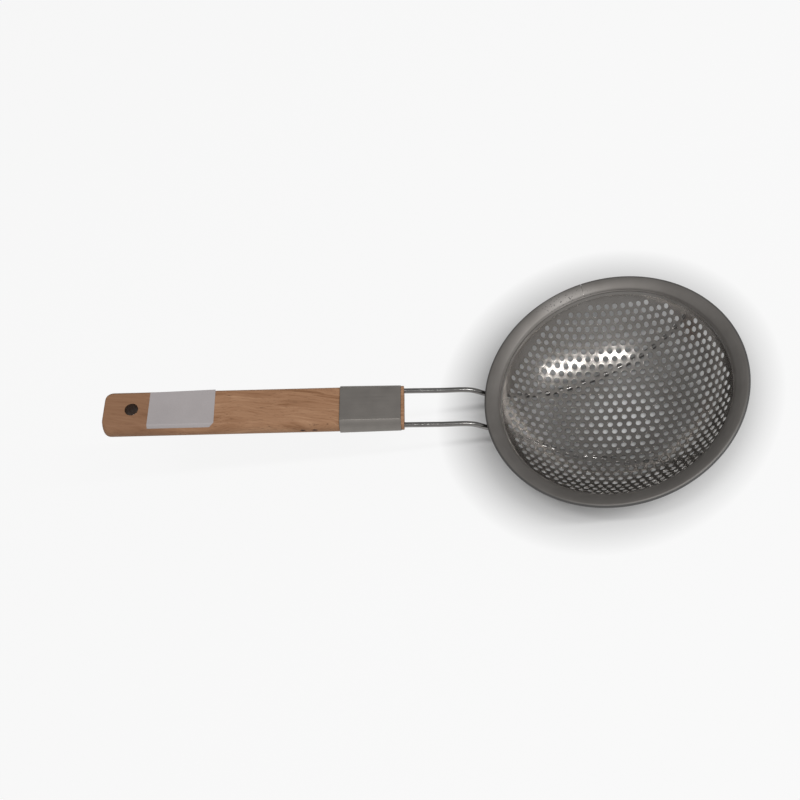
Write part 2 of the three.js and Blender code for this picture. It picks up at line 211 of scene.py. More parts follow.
def loft(loops, caps=True):
    """Points and faces of a skin over closed loops of equal length."""
    count = len(loops[0])
    faces = []
    for first in range(0, (len(loops) - 1) * count, count):
        for k in range(count):
            m = (k + 1) % count
            faces.append((first + k, first + m, first + count + m, first + count + k))
    if caps:
        faces.append(tuple(range(count)))
        faces.append(tuple(range((len(loops) - 1) * count, len(loops) * count)))
    return np.concatenate(loops), faces


def loft_sheet(loops):
    """Skin over loops that run out along one side of a thin sheet and back along the other."""
    points, faces = loft(loops, caps=False)
    count = len(loops[0])
    for first in (0, (len(loops) - 1) * count):
        for k in range(count // 2 - 1):
            faces.append((first + k, first + k + 1, first + count - 2 - k, first + count - 1 - k))
    return points, faces


def turned(profile, steps):
    """Closed body turned about the Z axis from a profile of radii and levels."""
    turns = np.arange(steps) * 2 * math.pi / steps
    ring = np.column_stack((np.cos(turns), np.sin(turns)))
    loops = [np.column_stack((radius * ring, np.full(steps, level))) for radius, level in profile]
    return loft(loops)


def make_mesh(name, points, faces):
    """Mesh from points in millimetres, with its faces turned outwards."""
    mesh = bpy.data.meshes.new(name)
    mesh.from_pydata((np.asarray(points) * MM).tolist(), [], faces)
    work = bmesh.new()
    work.from_mesh(mesh)
    bmesh.ops.recalc_face_normals(work, faces=work.faces)
    work.to_mesh(mesh)
    work.free()
    return mesh


def add_object(name, mesh, place):
    piece = bpy.data.objects.new(name, mesh)
    piece.matrix_world = place
    bpy.context.scene.collection.objects.link(piece)
    return piece


def shade(piece):
    """Smooth shading that leaves creases sharp and large flat faces flat."""
    crease = math.radians(50)
    piece.data.shade_smooth()
    piece.data.set_sharp_from_angle(angle=crease)
    weighted = piece.modifiers.new("Flat faces", "WEIGHTED_NORMAL")
    weighted.keep_sharp = True


def add_piece(name, mesh, place, material):
    piece = add_object(name, mesh, place)
    mesh.materials.append(material)
    shade(piece)
    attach(piece, "root")
    return piece


# Bowl's sheet, by length along its meridian

def bowl_meridian():
    """Middle of the sheet from the axis to the flange's edge, and the dish's length."""
    dish_steps, even_steps = 600, 2400
    top = np.array((dish_radius, dish_top))
    pulls = np.array(((0, -BOWL_DEPTH), (DISH_FLAT_PULL, -BOWL_DEPTH), top - DISH_WALL_PULL * up_wall, top))
    t = np.linspace(0, 1, dish_steps)[:, None]
    weights = ((1 - t) ** 3, 3 * t * (1 - t) ** 2, 3 * t**2 * (1 - t), t**3)
    dish = sum(weight * pull for weight, pull in zip(weights, pulls))
    bend = arc(shoulder_centre, shoulder_radius + flange_level, wall_turn, shoulder_turn, 16)
    flange = arc(crown_centre, BAND_CROWN + flange_level, shoulder_turn, edge_turn, 16)
    points = np.vstack((dish, bend, flange[1:]))
    lengths = np.append(0, np.cumsum(np.linalg.norm(np.diff(points, axis=0), axis=1)))
    even = np.linspace(0, lengths[-1], even_steps)
    radius, level = (np.interp(even, lengths, column) for column in points.T)
    dish_end = lengths[len(dish) - 1]
    bead = BEAD_RISE * np.exp(-(((even - dish_end + BEAD_DROP) / BEAD_SPREAD) ** 2) / 2)
    return even, radius + bead * off_wall[0], level + bead * off_wall[1], dish_end


sheet_length, sheet_radius, sheet_level, dish_length = bowl_meridian()
sheet_turn = np.arctan2(np.gradient(sheet_level), np.gradient(sheet_radius))


def off_sheet(length, offset):
    """Radius and level at lengths along the sheet, moved off its middle towards the bowl's inside."""
    radius = np.interp(length, sheet_length, sheet_radius)
    level = np.interp(length, sheet_length, sheet_level)
    turn = np.interp(length, sheet_length, sheet_turn)
    return radius - offset * np.sin(turn), level + offset * np.cos(turn)


def press(flat, offset):
    """Points of the flat blank, pressed to the bowl's shape."""
    radius, level = off_sheet(np.linalg.norm(flat, axis=1), offset)
    turn = np.arctan2(flat[:, 1], flat[:, 0])
    return np.column_stack((radius * np.cos(turn), radius * np.sin(turn), level))


# Hole pattern: each hole in a six-sided cell whose corners and edge points are ninths of the pitch
NINTHS = 9
EDGE_PARTS = 3
CELL_CORNERS = ((3, 3), (-3, 6), (-6, 3), (-3, -3), (3, -6), (6, -3))
CELL_SIDES = EDGE_PARTS * len(CELL_CORNERS)
pattern_steps = HOLE_PITCH * np.array(
    [(math.cos(PATTERN_TURN + a), math.sin(PATTERN_TURN + a)) for a in (0, math.pi / 3)]
)


def cell_rim():
    rim = []
    for (u, v), (p, q) in zip(CELL_CORNERS, CELL_CORNERS[1:] + CELL_CORNERS[:1]):
        for k in range(EDGE_PARTS):
            rim.append((u + (p - u) * k // EDGE_PARTS, v + (q - v) * k // EDGE_PARTS))
    return rim


def blank_point(key):
    """Place on the blank of a point given in ninths of the pattern's two steps."""
    at = np.array(key) / NINTHS @ pattern_steps + PATTERN_SHIFT
    drawn = PATTERN_SPREAD * (at @ at) / dish_length**2
    return at * (1 - drawn + 3 * drawn**2)  # inverse of a cubic spread, to the second order


def pattern_cells():
    """Middles of all cells on the dish, and the cells with room for a hole."""
    spare_cells = 3
    span = math.ceil(dish_length / pattern_steps[1, 1]) + spare_cells
    room = dish_length - PLAIN_MARGIN - HOLE_DIAMETER / 2
    middles = {}
    for i in range(-span, span + 1):
        for j in range(-span, span + 1):
            middle = blank_point((NINTHS * i, NINTHS * j))
            if np.linalg.norm(middle) < dish_length + HOLE_PITCH:
                middles[i, j] = middle
    pierced = [cell for cell, middle in middles.items() if np.linalg.norm(middle) < room]
    return middles, pierced


class Blank:
    """Points on the flat sheet, found again by their place in the pattern."""

    def __init__(self):
        self.points = []
        self.index = {}

    def at(self, cell, place):
        key = (NINTHS * cell[0] + place[0], NINTHS * cell[1] + place[1])
        if key not in self.index:
            self.index[key] = len(self.points)
            self.points.append(blank_point(key))
        return self.index[key]

    def ring(self, length, count):
        first = len(self.points)
        for turn in np.arange(count) * 2 * math.pi / count:
            self.points.append(length * np.array((math.cos(turn), math.sin(turn))))
        return list(range(first, first + count))


def loop_edges(loop):
    return list(zip(loop, loop[1:] + loop[:1]))


def pattern_outline(loops):
    """Edges of cells that no second cell shares."""
    edges = {}
    for loop in loops:
        for a, b in loop_edges(loop):
            if edges.pop((b, a), None) is None:
                edges[a, b] = True
    return list(edges)


def plain_points(blank, middles, pierced, reach):
    """Points of the cells without a hole that lie within a reach of the axis."""
    chosen = set()
    for i, j in sorted(middles.keys() - set(pierced)):
        for u, v in ((0, 0), *CELL_CORNERS):
            if np.linalg.norm(blank_point((NINTHS * i + u, NINTHS * j + v))) < reach:
                chosen.add(blank.at((i, j), (u, v)))
    return chosen


def margin_faces(blank, outline, plain, ring, middles, pierced):
    """Triangles of the plain sheet between the pattern's outline and a ring round it."""
    members = sorted({k for edge in outline for k in edge} | plain) + ring
    local = {k: n for n, k in enumerate(members)}
    fences = [(local[a], local[b]) for a, b in outline + loop_edges(ring)]
    tolerance = 1e-5
    net = delaunay_2d_cdt([Vector(blank.points[k]) for k in members], fences, [], 0, tolerance)
    triangles, sources = net[2], net[3]
    cells = list(middles)
    places = np.array([middles[cell] for cell in cells])
    holes = set(pierced)
    faces = []
    for face in triangles:
        corners = [members[sources[k][0]] for k in face]
        middle = np.mean([blank.points[k] for k in corners], axis=0)
        nearest = cells[int(np.argmin(np.linalg.norm(places - middle, axis=1)))]
        if nearest not in holes:
            faces.append(corners)
    return faces


def wall_rings(blank, start):
    """Rings from the margin to the flange's edge, closer together where the band leaves them open."""
    past_lip = 1
    open_count, held_count, ring_points = 16, 14, 240
    open_end = dish_length + BAND_LIP_RISE + past_lip
    open_lengths = np.linspace(start, open_end, open_count)
    held_lengths = np.linspace(open_end, sheet_length[-1], held_count)[1:]
    return [blank.ring(length, ring_points) for length in (*open_lengths, *held_lengths)]


def lining_steps():
    """Radii and heights of a hole's lining, with both edges rounded."""
    half = BOWL_SHEET / 2
    steps = []
    for turn in np.radians((0, 45, 90)):
        radius = HOLE_DIAMETER / 2 + HOLE_EDGE * (1 - math.sin(turn))
        steps.append((radius, half - HOLE_EDGE * (1 - math.cos(turn))))
    return steps + [(radius, -height) for radius, height in reversed(steps)]


def hole_linings(middles, pierced, loops, under):
    """Points and faces from each hole's cell on the upper skin, through the hole, to the lower skin."""
    turns = PATTERN_TURN + math.pi / 6 + np.arange(CELL_SIDES) * 2 * math.pi / CELL_SIDES
    circle = np.column_stack((np.cos(turns), np.sin(turns)))
    points = []
    faces = []
    total = 2 * under
    for cell, loop in zip(pierced, loops):
        walls = [loop]
        for radius, height in lining_steps():
            points.append(press(middles[cell] + radius * circle, height))
            walls.append(list(range(total, total + CELL_SIDES)))
            total += CELL_SIDES
        walls.append([k + under for k in loop])
        for upper, lower in zip(walls, walls[1:]):
            for (a, b), (d, c) in zip(loop_edges(upper), loop_edges(lower)):
                faces.append((a, b, c, d))
    return points, faces


def bowl_mesh():
    """Perforated dish with a plain margin, its upper wall and the flange that the band holds."""
    rim = cell_rim()
    middles, pierced = pattern_cells()
    blank = Blank()
    loops = [[blank.at(cell, place) for place in rim] for cell in pierced]
    margin_end = dish_length - BEAD_MARGIN
    plain = plain_points(blank, middles, pierced, margin_end - PLAIN_GAP)
    rings = wall_rings(blank, margin_end)
    sheet = margin_faces(blank, pattern_outline(loops), plain, rings[0], middles, pierced)
    for inner, outer in zip(rings, rings[1:]):
        for (a, b), (d, c) in zip(loop_edges(inner), loop_edges(outer)):
            sheet.append((a, d, c, b))

    # Both skins, the flange's edge and the holes
    flat = np.array(blank.points)
    under = len(flat)
    points = [press(flat, BOWL_SHEET / 2), press(flat, -BOWL_SHEET / 2)]
    faces = [tuple(face) for face in sheet]
    faces += [tuple(k + under for k in face[::-1]) for face in sheet]
    faces += [(a, a + under, b + under, b) for a, b in loop_edges(rings[-1])]
    lining_points, lining_faces = hole_linings(middles, pierced, loops, under)
    return make_mesh("bowl", np.concatenate(points + lining_points), faces + lining_faces)


# Rim band

def band_section():
    """Section of the folded strip: out along its outside, back along its inside."""
    return_end = RIM_RADIUS - BAND_RETURN
    corner = -band_underside - BAND_EDGE
    corner_centre = (RIM_RADIUS - corner, -BAND_EDGE)
    hem_centre = wall_line + BAND_LIP_RISE * up_wall - (BAND_HEM - HEM_PROUD) * off_wall
    hem_turn = math.degrees(math.acos(1 - HEM_PROUD / BAND_HEM))
    soft = BAND_SHEET / 4
    return np.vstack((
        (return_end + soft, band_underside),
        arc(corner_centre, corner, -90, 0, 6),
        arc(edge_centre, BAND_EDGE, 0, edge_turn, 12),
        arc(crown_centre, BAND_CROWN, edge_turn, shoulder_turn, 12)[1:],
        arc(shoulder_centre, shoulder_radius, shoulder_turn, wall_turn, 8)[1:],
        arc(hem_centre, BAND_HEM, wall_turn - hem_turn, wall_turn + 180 + hem_turn, 16),
        arc(shoulder_centre, shoulder_radius - BAND_SHEET, wall_turn, shoulder_turn, 8),
        arc(crown_centre, BAND_CROWN - BAND_SHEET, shoulder_turn, edge_turn, 12)[1:],
        arc(edge_centre, BAND_EDGE - BAND_SHEET, edge_turn, 0, 8)[1:],
        arc(corner_centre, corner - BAND_SHEET, 0, -90, 4),
        (return_end + soft, band_underside + BAND_SHEET),
        (return_end, band_underside + BAND_SHEET - soft),
        (return_end, band_underside + soft),
    ))


def band_mesh():
    steps = 360
    radius, level = band_section().T
    half_gap = SEAM_GAP / 2 / RIM_RADIUS
    turns = SEAM_TURN + np.linspace(half_gap, 2 * math.pi - half_gap, steps + 1)
    loops = [np.column_stack((radius * math.cos(a), radius * math.sin(a), level)) for a in turns]
    return make_mesh("band", *loft(loops))


# Wires

def neck_guides(across):
    """Points from a wire's end in the wood, along the neck and round the rim's fold."""
    radius = WIRE_DIAMETER / 2
    rise, run = math.sin(HANDLE_RISE), math.cos(HANDLE_RISE)
    dip_reach = (RIM_RADIUS + WIRE_DIP_RUN) / run
    guides = []
    for reach in (handle_reach + WIRE_INSERT, handle_reach, (handle_reach + dip_reach) / 2, dip_reach):
        sag = WIRE_DIP_SAG * max(0, handle_reach - reach) / (handle_reach - dip_reach)
        guides.append((-reach * run, across, axis_level + reach * rise - sag))
    fold_clear = fold_radius + WIRE_DIP_GAP + radius
    for turn in np.radians((30, 65)):
        around = fold_centre + fold_clear * math.cos(turn)
        level = flange_level - fold_clear * math.sin(turn)
        guides.append((-math.sqrt(around**2 - across**2), across, level))
    return guides


def wire_guides(side):
    """Points that a wire passes through, from its end in the wood to its far end under the rim."""
    radius = WIRE_DIAMETER / 2
    across = side * WIRE_SPACING / 2
    dish_clear = BOWL_SHEET / 2 + WIRE_GAP + radius
    band_level = band_underside - WIRE_GAP - radius
    band_middle = (fold_centre + dish_radius + dish_clear) / 2
    samples, dish_guides = 600, 17
    under_radius, under_level = off_sheet(np.linspace(0, dish_length, samples), -dish_clear)
    guides = neck_guides(across)
    guides.append((-math.sqrt(band_middle**2 - across**2), across, band_level))

    # Straight in plan under the dish, to the band on the far side
    heading = np.array((math.cos(WIRE_SPREAD), side * math.sin(WIRE_SPREAD)))
    start = np.array((-math.sqrt(under_radius[-1] ** 2 - across**2), across))
    middle = -start @ heading

    def run_to(r):
        return middle + math.sqrt(middle**2 + r**2 - start @ start)

    for share in (1 - np.cos(np.linspace(0, math.pi, dish_guides))) / 2:
        at = start + heading * run_to(under_radius[-1]) * share
        guides.append((*at, np.interp(np.linalg.norm(at), under_radius, under_level)))
    for r in (band_middle, RIM_RADIUS - WIRE_END_INSET):
        guides.append((*(start + heading * run_to(r)), band_level))
    return np.array(guides)


def smooth_route(guides, steps):
    """Centripetal curve through the guides, in even steps."""
    part_steps = 24
    ends = np.vstack((2 * guides[0] - guides[1], guides, 2 * guides[-1] - guides[-2]))
    t = np.linspace(0, 1, part_steps, endpoint=False)[:, None]
    route = []
    for a, b, c, d in zip(ends, ends[1:], ends[2:], ends[3:]):
        before, span, after = (np.linalg.norm(q - p) ** 0.5 for p, q in ((a, b), (b, c), (c, d)))
        leave = span * ((b - a) / before - (c - a) / (before + span) + (c - b) / span)
        arrive = span * ((c - b) / span - (d - b) / (span + after) + (d - c) / after)
        part = (2 * t**3 - 3 * t**2 + 1) * b + (3 * t**2 - 2 * t**3) * c
        route.append(part + (t**3 - 2 * t**2 + t) * leave + (t**3 - t**2) * arrive)
    route = np.vstack((*route, guides[-1:]))
    along = np.append(0, np.cumsum(np.linalg.norm(np.diff(route, axis=0), axis=1)))
    even = np.linspace(0, along[-1], steps + 1)
    return np.column_stack([np.interp(even, along, column) for column in route.T])


def wire_mesh(side):
    steps, sides = 260, 20
    route = smooth_route(wire_guides(side), steps)
    ahead = np.gradient(route, axis=0)
    ahead /= np.linalg.norm(ahead, axis=1)[:, None]
    turns = np.arange(sides) * 2 * math.pi / sides
    normal = np.array((0.0, 1.0, 0.0))
    radius = WIRE_DIAMETER / 2
    loops = []
    for at, way in zip(route, ahead):
        normal = normal - way * (normal @ way)
        normal /= np.linalg.norm(normal)
        circle = np.outer(np.cos(turns), normal) + np.outer(np.sin(turns), np.cross(way, normal))
        loops.append(at + radius * circle)
    soft = radius / 2  # rounding of the far end
    for turn in np.radians((30, 60, 90)):
        shrunk = radius - soft * (1 - math.cos(turn))
        loops.append(route[-1] + ahead[-1] * soft * math.sin(turn) + shrunk * circle)
    return make_mesh("wire", *loft(loops))


# Handle, in its own axes: -X runs along the wood away from the bowl, +Z is its upper side

def handle_shape(offset, edge, narrowed=0.0):
    """Half thickness, middle and radius of the bowed side, place of the edge's rounding and its end."""
    half = HANDLE_THICKNESS / 2
    bow_radius = (half**2 + HANDLE_BOW**2) / (2 * HANDLE_BOW)
    bow_middle = HANDLE_WIDTH / 2 - bow_radius - narrowed
    half += offset
    bow_radius += offset
    edge_across = bow_middle + math.sqrt((bow_radius - edge) ** 2 - (half - edge) ** 2)
    sweep = math.degrees(math.atan2(half - edge, edge_across - bow_middle))
    return half, bow_middle, bow_radius, edge_across, sweep


def handle_section(offset, edge, narrowed=0.0):
    """Loop of places across and above the handle's axis, from the middle of its back."""
    half, bow_middle, bow_radius, edge_across, sweep = handle_shape(offset, edge, narrowed)
    flat = np.linspace(0, edge_across, 5)[:-1]
    quarter = np.vstack((
        np.column_stack((flat, np.full(len(flat), -half))),
        arc((edge_across, edge - half), edge, -90, -sweep, 6)[:-1],
        arc((bow_middle, 0), bow_radius, -sweep, 0, 8),
    ))
    side = np.vstack((quarter, (quarter * (1, -1))[-2::-1]))
    return np.vstack((side, (side * (-1, 1))[-2:0:-1]))


def along_handle(reach, section):
    return np.column_stack((np.full(len(section), -reach), section))


def handle_stations():
    """Reach, offset and narrowing of the wood's sections, from its front face to its rounded end."""
    soft = HANDLE_FRONT_EDGE
    seat_start = ferrule_start - CLEARANCE / 2
    seat_end = ferrule_end + CLEARANCE / 2
    stations = [(handle_reach, -soft, 0), (handle_reach + soft / 3, -soft / 3, 0)]
    stations += [(handle_reach + soft, 0, 0), (seat_start, 0, 0)]
    stations += [(seat_start + TENON_EASE, -TENON_STEP, 0), (seat_end - TENON_EASE, -TENON_STEP, 0)]
    stations += [(seat_end, -soft / 3, 0), (seat_end + soft / 3, 0, 0)]
    behind_seat, plain_count = 3, 12
    plain = np.linspace(seat_end + behind_seat, handle_end - HANDLE_CORNER, plain_count)
    stations += [(reach, 0, 0) for reach in plain]
    for turn in np.radians(np.linspace(12, 90, 14)):
        left = HANDLE_CORNER * (1 - math.sin(turn))
        narrowed = HANDLE_CORNER * (1 - math.cos(turn)) if turn < math.pi / 2 else HANDLE_CORNER
        edge = max(0, HANDLE_END_EDGE - left)
        offset = math.sqrt(HANDLE_END_EDGE**2 - edge**2) - HANDLE_END_EDGE
        stations.append((handle_end - left, offset, narrowed))
    return stations


def wood_block():
    loops = []
    for reach, offset, narrowed in handle_stations():
        loops.append(along_handle(reach, handle_section(offset, HANDLE_EDGE, narrowed)))
    return make_mesh("wood", *loft(loops))


def hang_hole_cutter():
    half = HANDLE_THICKNESS / 2
    radius = HANG_HOLE_DIAMETER / 2
    flare = arc((radius + HANG_HOLE_FLARE, half - HANG_HOLE_FLARE), HANG_HOLE_FLARE, 180, 100, 6)
    profile = np.vstack((flare, (flare[-1, 0], half + CUT_PAST)))
    profile = np.vstack((profile[::-1] * (1, -1), profile))
    points, faces = turned(profile, steps=48)
    return make_mesh("hang_hole", points + (HANG_HOLE_INSET - handle_end, 0, 0), faces)


def wire_bore_cutter(side):
    radius = WIRE_DIAMETER / 2 + WIRE_BORE_GAP
    past_wire = 1
    points, faces = turned(((radius, -CUT_PAST), (radius, WIRE_INSERT + past_wire)), steps=24)
    points = np.column_stack((-points[:, 2] - handle_reach, points[:, 1], points[:, 0]))
    return make_mesh("wire_bore", points + (0, side * WIRE_SPACING / 2, 0), faces)


def cut(block, cutters):
    """Mesh of a block with the cutters taken out of it."""
    base = add_object("cut_base", block, Matrix.Identity(4))
    tools = [add_object("cut_tool", cutter, Matrix.Identity(4)) for cutter in cutters]
    for tool in tools:
        step = base.modifiers.new("Cut", "BOOLEAN")
        step.operation = "DIFFERENCE"
        step.solver = "EXACT"
        step.object = tool
    shape = base.evaluated_get(bpy.context.evaluated_depsgraph_get())
    mesh = bpy.data.meshes.new_from_object(shape)
    for used in (base, *tools):
        old = used.data
        bpy.data.objects.remove(used)
        bpy.data.meshes.remove(old)
    return mesh


def handle_mesh():
    return cut(wood_block(), [hang_hole_cutter(), wire_bore_cutter(1), wire_bore_cutter(-1)])


# Ferrule

def ferrule_strip(offset):
    section = handle_section(offset, FERRULE_FOLD)
    seam = (FERRULE_SEAM / 2, section[0, 1])
    return np.vstack((seam, section[1:], (-seam[0], seam[1])))


def ferrule_mesh():
    """Sheet wrapped round the wood, closer at its front, with an open seam along the back."""
    soft = FERRULE_SHEET / 5
    inset = np.array((0, soft))
    end_gap, middle_count = 2, 6
    middle_reaches = np.linspace(ferrule_start + end_gap, ferrule_end - end_gap, middle_count)
    loops = []
    for reach in (*(ferrule_start + inset), *middle_reaches, *(ferrule_end - inset[::-1])):
        proud = FERRULE_PROUD - FERRULE_TAPER * (ferrule_end - reach) / FERRULE_LENGTH
        trim = soft if reach in (ferrule_start, ferrule_end) else 0
        outer = ferrule_strip(proud - trim)
        inner = ferrule_strip(proud - FERRULE_SHEET + trim)
        loops.append(along_handle(reach, np.vstack((outer, inner[::-1]))))
    return make_mesh("ferrule", *loft_sheet(loops))


# Label

def label_path(offset, far):
    """Line across the handle's upper face, from over its far side to where it ends on the near side."""
    half, bow_middle, bow_radius, edge_across, sweep = handle_shape(offset, HANDLE_EDGE + offset)
    low = math.degrees(math.asin((HANDLE_THICKNESS / 2 - LABEL_DROP) / bow_radius))
    flat = np.linspace(far, -edge_across, 24)
    return np.vstack((
        np.column_stack((flat, np.full(len(flat), half)))[:-1],
        arc((-edge_across, half - HANDLE_EDGE - offset), HANDLE_EDGE + offset, 90, 180 - sweep, 6)[:-1],
        arc((-bow_middle, 0), bow_radius, 180 - sweep, 180 - low, 5),
    ))


def label_mesh():
    """Thin paper with its near front corner snipped off."""
    columns = 40
    rear = LABEL_FRONT + LABEL_LENGTH
    loops = []
    for share in np.linspace(0, 1, columns + 1):
        layers = []
        for offset in (LABEL_GAP + LABEL_SHEET, LABEL_GAP):
            path = label_path(offset, LABEL_FAR - LABEL_TURN * share)
            along = np.append(0, np.cumsum(np.linalg.norm(np.diff(path, axis=0), axis=1)))
            snip = np.clip(along - along[-1] + LABEL_SNIP, 0, None)
            front = LABEL_FRONT - LABEL_SKEW * along / along[-1] + snip
            layers.append(np.column_stack((-front - (rear - front) * share, path)))
        loops.append(np.vstack((layers[0], layers[1][::-1])))
    return make_mesh("label", *loft_sheet(loops))


# Materials, with scales in features per metre

class Look:
    """Node material that ends in a principled shader."""

    def __init__(self, name, **sockets):
        self.material = bpy.data.materials.new(name)
        self.material.use_nodes = True
        self.tree = self.material.node_tree
        self.surface = self.tree.nodes["Principled BSDF"]
        for socket, value in sockets.items():
            self.surface.inputs[socket.replace("_", " ")].default_value = value
        self.coordinates = self.tree.nodes.new("ShaderNodeTexCoord").outputs["Object"]

    def add(self, kind, output, inputs, **settings):
        node = self.tree.nodes.new(kind)
        for name, value in settings.items():
            setattr(node, name, value)
        for socket, value in inputs.items():
            self.feed(node.inputs[socket], value)
        return node.outputs[output]

    def feed(self, socket, value):
        if isinstance(value, bpy.types.NodeSocket):
            self.tree.links.new(value, socket)
        else:
            socket.default_value = value

    def set(self, socket, value):
        self.feed(self.surface.inputs[socket], value)

    def stretched(self, *scale, vector=None):
        vector = vector or self.coordinates
        return self.add("ShaderNodeMapping", "Vector", {"Vector": vector, "Scale": scale})

    def noise(self, vector, detail=3.0, roughness=0.5):
        inputs = {"Vector": vector, "Scale": 1.0, "Detail": detail, "Roughness": roughness}
        return self.add("ShaderNodeTexNoise", "Fac", inputs)

    def ramp(self, value, *stops):
        node = self.tree.nodes.new("ShaderNodeValToRGB")
        self.feed(node.inputs["Fac"], value)
        while len(node.color_ramp.elements) < len(stops):
            node.color_ramp.elements.new(1)
        for element, (position, colour) in zip(node.color_ramp.elements, stops):
            element.position = position
            element.color = (*colour, 1)
        return node.outputs["Color"]

    def spread(self, value, low, high, source=(0.3, 0.7)):
        start, end = source
        inputs = {"Value": value, "From Min": start, "From Max": end, "To Min": low, "To Max": high}
        return self.add("ShaderNodeMapRange", "Result", inputs)

    def mix(self, factor, a, b):
        """Mix of two colours; the node's colour sockets are found by their number."""
        colours = {0: factor, 6: a, 7: b}
        return self.add("ShaderNodeMix", 2, colours, data_type="RGBA")

    def maths(self, operation, *values):
        return self.add("ShaderNodeMath", 0, dict(enumerate(values)), operation=operation)

    def bump(self, height, strength, distance):
        inputs = {"Height": height, "Strength": strength, "Distance": distance}
        self.set("Normal", self.add("ShaderNodeBump", "Normal", inputs))

    def near(self, point, size, soft=0.5, top=1):
        """Mask round a point in millimetres, from its top value to 0 at the size for each axis."""
        scale = [1 / (extent * MM) if extent else 0 for extent in size]  # 0 leaves an axis out
        shift = [-place * MM * factor for place, factor in zip(point, scale)]
        inputs = {"Vector": self.coordinates, "Location": shift, "Scale": scale}
        offset = self.add("ShaderNodeMapping", "Vector", inputs)
        distance = self.add("ShaderNodeVectorMath", "Value", {0: offset}, operation="LENGTH")
        return self.spread(distance, top, 0, source=(1 - soft, 1))

    def round_axis(self):
        """Radius about the Z axis, and coordinates by radius, turn and level."""
        node = self.tree.nodes.new("ShaderNodeSeparateXYZ")
        self.feed(node.inputs[0], self.coordinates)
        x, y, z = node.outputs
        squares = self.maths("ADD", self.maths("MULTIPLY", x, x), self.maths("MULTIPLY", y, y))
        radius = self.maths("SQRT", squares)
        inputs = {"X": radius, "Y": self.maths("ARCTAN2", y, x), "Z": z}
        return radius, self.add("ShaderNodeCombineXYZ", "Vector", inputs)


def grey(value, warmth=0.03):
    return (value * (1 + warmth / 2), value, value * (1 - warmth / 2))


def bowl_steel():
    look = Look("bowl_steel", Metallic=1.0)
    reflection_brown = (*grey(0.15, 0.2), 1)
    cloud = look.noise(look.stretched(70, 70, 70), detail=4)
    steel = look.ramp(cloud, (0.3, grey(0.27, 0.13)), (0.7, grey(0.34, 0.09)))
    # painted brownish reflection darkens one part of the bowl's inside
    painted_reflection = look.near(BROWN_REFLECTION_MIDDLE, BROWN_REFLECTION_SIZE, soft=1, top=0.6)
    look.set("Base Color", look.mix(painted_reflection, steel, reflection_brown))
    fine = look.noise(look.stretched(900, 900, 900), detail=2)
    look.set("Roughness", look.spread(fine, 0.18, 0.24))
    dents = look.noise(look.stretched(260, 260, 260), detail=3)
    look.bump(dents, strength=0.018, distance=0.0002)
    return look.material


def band_steel():
    look = Look("band_steel", Metallic=1.0)
    edge_shade_grey = (*grey(0.13), 1)
    sheen_grey = (*grey(0.36, 0.1), 1)
    pit_grey = (*grey(0.07), 1)
    radius, around = look.round_axis()
    lines = look.noise(look.stretched(5200, 9, 5200, vector=around), detail=3)
    cloud = look.noise(look.stretched(60, 60, 60), detail=4)
    tone = look.mix(0.4, cloud, lines)
    steel = look.ramp(tone, (0.3, grey(0.19, 0.14)), (0.7, grey(0.25, 0.12)))
    # painted shade darkens the rounded outer edge
    shaded_edge_span = ((RIM_RADIUS - BAND_EDGE) * MM, (RIM_RADIUS - BAND_EDGE / 4) * MM)
    steel = look.mix(look.spread(radius, 0, 1, source=shaded_edge_span), steel, edge_shade_grey)
    # painted highlight brightens this stretch of the band; the pits in it are real
    painted_sheen = look.near(PITS_AND_SHEEN_MIDDLE, PITS_AND_SHEEN_SIZE, soft=0.9, top=0.6)
    steel = look.mix(painted_sheen, steel, sheen_grey)
    worn = look.near(PITS_AND_SHEEN_MIDDLE, PITS_AND_SHEEN_SIZE, soft=0.7)
    specks = look.noise(look.stretched(1100, 1100, 1100), detail=2)
    pits = look.maths("MULTIPLY", worn, look.spread(specks, 0, 1, source=(0.62, 0.68)))
    look.set("Base Color", look.mix(pits, steel, pit_grey))
    look.set("Roughness", look.spread(lines, 0.5, 0.6))
    look.bump(lines, strength=0.06, distance=0.00005)
    return look.material


def wire_steel():
    look = Look("wire_steel", Metallic=1.0)
    streaks = look.noise(look.stretched(60, 900, 900), detail=3)
    look.set("Base Color", look.ramp(streaks, (0.3, grey(0.19, 0.07)), (0.7, grey(0.26, 0.07))))
    look.set("Roughness", look.spread(streaks, 0.13, 0.2))
    look.bump(streaks, strength=0.04, distance=0.00005)
    return look.material


def ferrule_steel():
    look = Look("ferrule_steel", Metallic=1.0)
    lines = look.noise(look.stretched(40, 2600, 2600), detail=3)
    cloud = look.noise(look.stretched(90, 90, 90), detail=4)
    tone = look.mix(0.4, cloud, lines)
    look.set("Base Color", look.ramp(tone, (0.3, grey(0.22, 0.15)), (0.7, grey(0.28, 0.15))))
    look.set("Roughness", look.spread(lines, 0.5, 0.62))
    look.bump(lines, strength=0.1, distance=0.00005)
    return look.material


def wood_grain(look):
    """Coordinates along the handle that lean and sway as the grain does."""
    lean = {"Vector": look.coordinates, "Rotation": (0, 0, GRAIN_SLANT)}
    slant = look.add("ShaderNodeMapping", "Vector", lean)
    sway = look.noise(look.stretched(16, 45, 45, vector=slant), detail=2)
    shift = look.spread(sway, -0.003, 0.003)
    across = look.add("ShaderNodeCombineXYZ", "Vector", {"Y": shift, "Z": shift})
    return look.add("ShaderNodeVectorMath", "Vector", {0: slant, 1: across}, operation="ADD")


